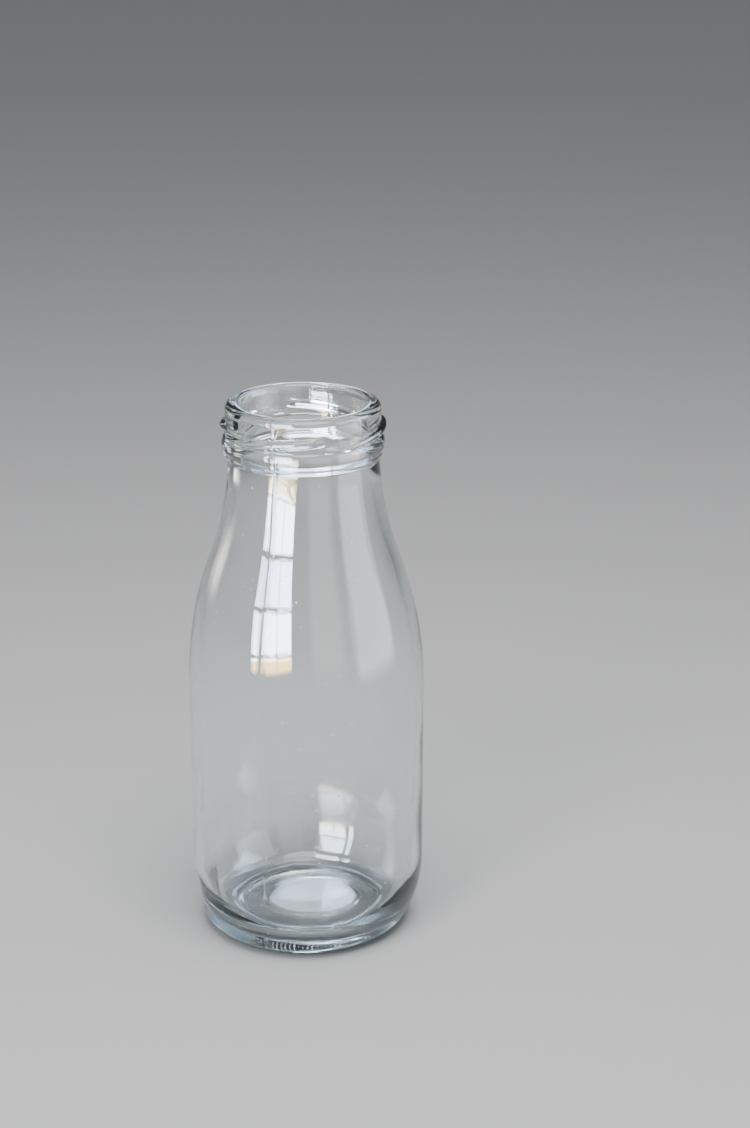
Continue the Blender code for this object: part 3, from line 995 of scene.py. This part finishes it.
floor_mesh = bpy.data.meshes.new("floor")
shell = bmesh.new()
bmesh.ops.create_circle(shell, cap_ends=True, radius=FLOOR_REACH, segments=96)
shell.to_mesh(floor_mesh)
shell.free()
floor = bpy.data.objects.new("floor", floor_mesh)
floor.location.z = -FLOOR_GAP
bpy.context.scene.collection.objects.link(floor)
pale = bpy.data.materials.new("pale_floor")
pale.use_nodes = True
matt = pale.node_tree.nodes["Principled BSDF"]
matt.inputs["Base Color"].default_value = FLOOR_COLOUR
matt.inputs["Roughness"].default_value = 1.0
matt.inputs["Specular IOR Level"].default_value = 0.0
floor_mesh.materials.append(pale)
floor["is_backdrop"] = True
print(f"floor {FLOOR_REACH * 2:.0f} m across")

# %% Soft lights


def soft_light(name, place, aim, size, power, colour=(1.0, 1.0, 1.0), on_floor=True, feather=0.08):
    """A rectangular light at place that faces aim, size wide and high, dimmer towards its edges.

    It is hidden from the camera. Without on_floor it only shows in the glass and doesn't light the floor.
    """
    data = bpy.data.lights.new(name, "AREA")
    data.shape = "RECTANGLE"
    data.size, data.size_y = size
    data.energy = power
    data.color = colour
    data.use_nodes = True
    glow = data.node_tree
    across = add(glow, "ShaderNodeSeparateXYZ")
    feed(glow, across.inputs[0], add(glow, "ShaderNodeNewGeometry").outputs["Parametric"])
    strength = 1.0
    for share in across.outputs["X"], across.outputs["Y"]:
        to_edge = maths(glow, "MINIMUM", share, maths(glow, "SUBTRACT", 1.0, share))
        strength = maths(glow, "MULTIPLY", strength, steps_between(glow, to_edge, 0.0, feather))
    feed(glow, glow.nodes["Emission"].inputs["Strength"], strength)
    lamp = bpy.data.objects.new(name, data)
    lamp.location = place
    lamp.rotation_mode = "QUATERNION"
    lamp.rotation_quaternion = (Vector(aim) - Vector(place)).to_track_quat("-Z", "Y")
    lamp.visible_camera = False
    lamp.visible_diffuse = on_floor
    bpy.context.scene.collection.objects.link(lamp)
    return lamp


def from_bottle(turn, distance, height):
    """A place at that distance from the axis. Turn is in degrees from the camera's side, to the right."""
    return (distance * math.sin(math.radians(turn)), -distance * math.cos(math.radians(turn)), height)


# %% What the glass mirrors
window = soft_light("window", from_bottle(-35.5, 0.50, 0.261), aim=(0.0, 0.0, 0.261), size=(0.38, 0.52),
                    power=42.0, on_floor=False, feather=0.04)
soft_light("side_fill", from_bottle(72.0, 0.32, 0.211), aim=(0.0, 0.0, 0.211), size=(0.28, 0.42),
           power=1.7, colour=(0.95, 0.96, 1.0), on_floor=False, feather=0.12)
soft_light("room", from_bottle(22.0, 0.34, 0.215), aim=(0.0, 0.0, 0.215), size=(0.24, 0.42),
           power=0.55, colour=(1.0, 0.97, 0.93), on_floor=False, feather=0.20)
soft_light("high_right", from_bottle(95.0, 0.60, 0.42), aim=(0.0, 0.0, 0.04), size=(0.60, 0.50),
           power=14.0, colour=(0.60, 0.72, 1.0), on_floor=False, feather=0.3)
soft_light("back_left", from_bottle(-128.0, 0.60, 0.111), aim=(0.0, 0.0, 0.111), size=(0.30, 0.22),
           power=1.2, colour=(1.0, 0.96, 0.88), on_floor=False, feather=0.45)
soft_light("low_back", from_bottle(180.0, 0.45, 0.175), aim=(0.0, 0.0, 0.0), size=(0.10, 0.19),
           power=0.44, colour=(0.66, 0.77, 1.0), on_floor=False, feather=0.18)

# %% What lights the floor as well
soft_light("overhead", (0.05, -0.20, 0.75), aim=(0.0, -0.12, 0.0), size=(0.6, 0.6),
           power=12.0, feather=0.3)
soft_light("key", from_bottle(-33.0, 0.80, 0.70), aim=(0.0, 0.0, 0.05), size=(0.30, 0.50), power=4.0)
lamps = [thing.name for thing in bpy.context.scene.objects if thing.type == "LIGHT"]
print(f"{len(lamps)} soft lights: {', '.join(lamps)}")

# %% [markdown]
# ## A window, not a lamp
#
# A plain white streak on glass looks like a studio. The streak in the photograph is a real window:
# warm ground at its foot, white cloud above, blue sky on top, and dark bars between the panes. The
# shoulder turns its mirror image upwards and the neck turns it back down, so the warm foot shows at
# both ends of the streak. The same marks go into the light itself, by its own two coordinates.

# %% Panes, ground and sky in the window light
SKY = (0.62, 0.76, 1.0, 1.0)
CLOUD = (0.90, 0.95, 1.0, 1.0)
GROUND = (0.50, 0.34, 0.10, 1.0)
UPRIGHT_BARS = ((0.20, 0.060), (0.62, 0.010))
LEVEL_BARS = ((0.115, 0.010), (0.385, 0.014))
BAR_EDGE_SHARES = (0.7, 1.3)
LAYERS = ((0.080, 0.100, CLOUD), (0.32, 0.42, SKY))
WINDOW_ROLL = math.radians(6.0)

window.rotation_quaternion = window.rotation_quaternion @ Quaternion((0.0, 0.0, 1.0), WINDOW_ROLL)

glow = window.data.node_tree
pane = add(glow, "ShaderNodeSeparateXYZ")
feed(glow, pane.inputs[0], add(glow, "ShaderNodeNewGeometry").outputs["Parametric"])
emission = glow.nodes["Emission"]
strength = emission.inputs["Strength"].links[0].from_socket
for share, bars in (pane.outputs["X"], UPRIGHT_BARS), (pane.outputs["Y"], LEVEL_BARS):
    for middle, half_width in bars:
        off_bar = maths(glow, "ABSOLUTE", maths(glow, "SUBTRACT", share, middle))
        edge_start, edge_end = (half_width * bar_share for bar_share in BAR_EDGE_SHARES)
        strength = maths(glow, "MULTIPLY", strength, steps_between(glow, off_bar, edge_start, edge_end))
feed(glow, emission.inputs["Strength"], strength)
colour = GROUND
for start, full, layer in LAYERS:
    colour = mix_colours(glow, steps_between(glow, pane.outputs["Y"], start, full), colour, layer)
feed(glow, emission.inputs["Color"], colour)
print(f"window: {len(UPRIGHT_BARS)} upright bars and {len(LEVEL_BARS)} level ones")

# %% Faint light from all round
HORIZON_GLOW = 0.19
ZENITH_RISE = 0.85
ROOM_GREY = (0.80, 0.82, 0.85, 1.0)

world = bpy.data.worlds.new("studio")
world.use_nodes = True
sky = world.node_tree
height_of = add(sky, "ShaderNodeSeparateXYZ")
feed(sky, height_of.inputs[0], add(sky, "ShaderNodeTexCoord").outputs["Generated"])
above = maths(sky, "MAXIMUM", height_of.outputs["Z"], 0.0)
brightness = maths(sky, "MULTIPLY", maths(sky, "MULTIPLY_ADD", above, ZENITH_RISE, 1.0), HORIZON_GLOW)
feed(sky, sky.nodes["Background"].inputs["Color"], ROOM_GREY)
feed(sky, sky.nodes["Background"].inputs["Strength"], brightness)
bpy.context.scene.world = world
print(f"world: {HORIZON_GLOW:.2f} at the horizon, {HORIZON_GLOW * (1 + ZENITH_RISE):.2f} overhead")

# %% Let light bounce often enough inside thick glass
LIGHT_BOUNCES = 24
BRIGHTEST_BOUNCE = 60.0
bpy.context.scene.cycles.max_bounces = LIGHT_BOUNCES
bpy.context.scene.cycles.transmission_bounces = LIGHT_BOUNCES
bpy.context.scene.cycles.sample_clamp_indirect = BRIGHTEST_BOUNCE
print(f"{LIGHT_BOUNCES} bounces")

# %% Measure how far both boxes differ, then finish
low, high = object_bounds()
growth = (high - low) - (cad_high - cad_low)
print("grown by", [round(side * 1000, 2) for side in growth], "mm")
